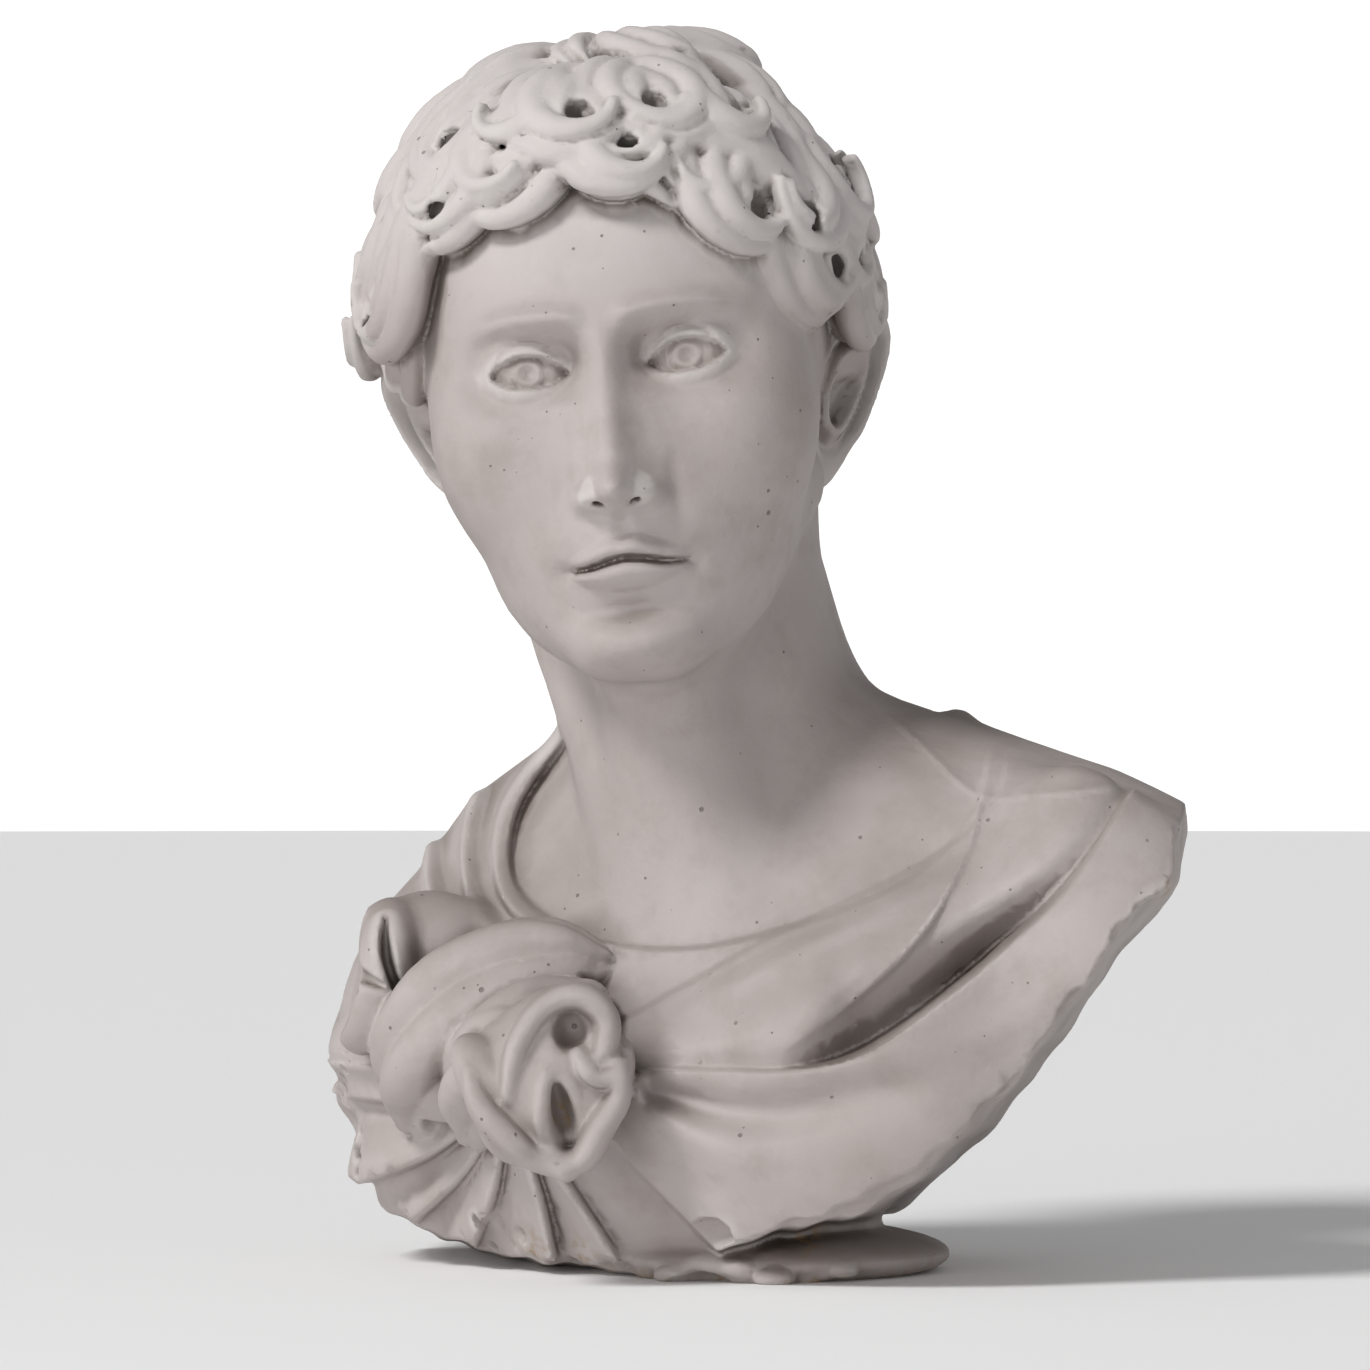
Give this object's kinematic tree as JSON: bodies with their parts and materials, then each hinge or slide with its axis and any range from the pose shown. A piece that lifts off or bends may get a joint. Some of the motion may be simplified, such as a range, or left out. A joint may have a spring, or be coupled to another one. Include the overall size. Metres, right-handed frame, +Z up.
{
  "type": "plaster bust",
  "caption": "Head-and-shoulders plaster bust of a curly-haired young saint in a knotted mantle, cast in one with a low round foot.",
  "frame": {"origin": "middle of the round foot, on the ground", "axes": "+Z up; the bust faces -Y, its head turned a little towards -X"},
  "size_m": [0.3734, 0.2839, 0.5384],
  "materials": {
    "plaster": "matte, unpainted plaster, handled and a little dusty"
  },
  "bodies": {
    "root": {"plaster_bust": "plaster"}
  },
  "joints": []
}
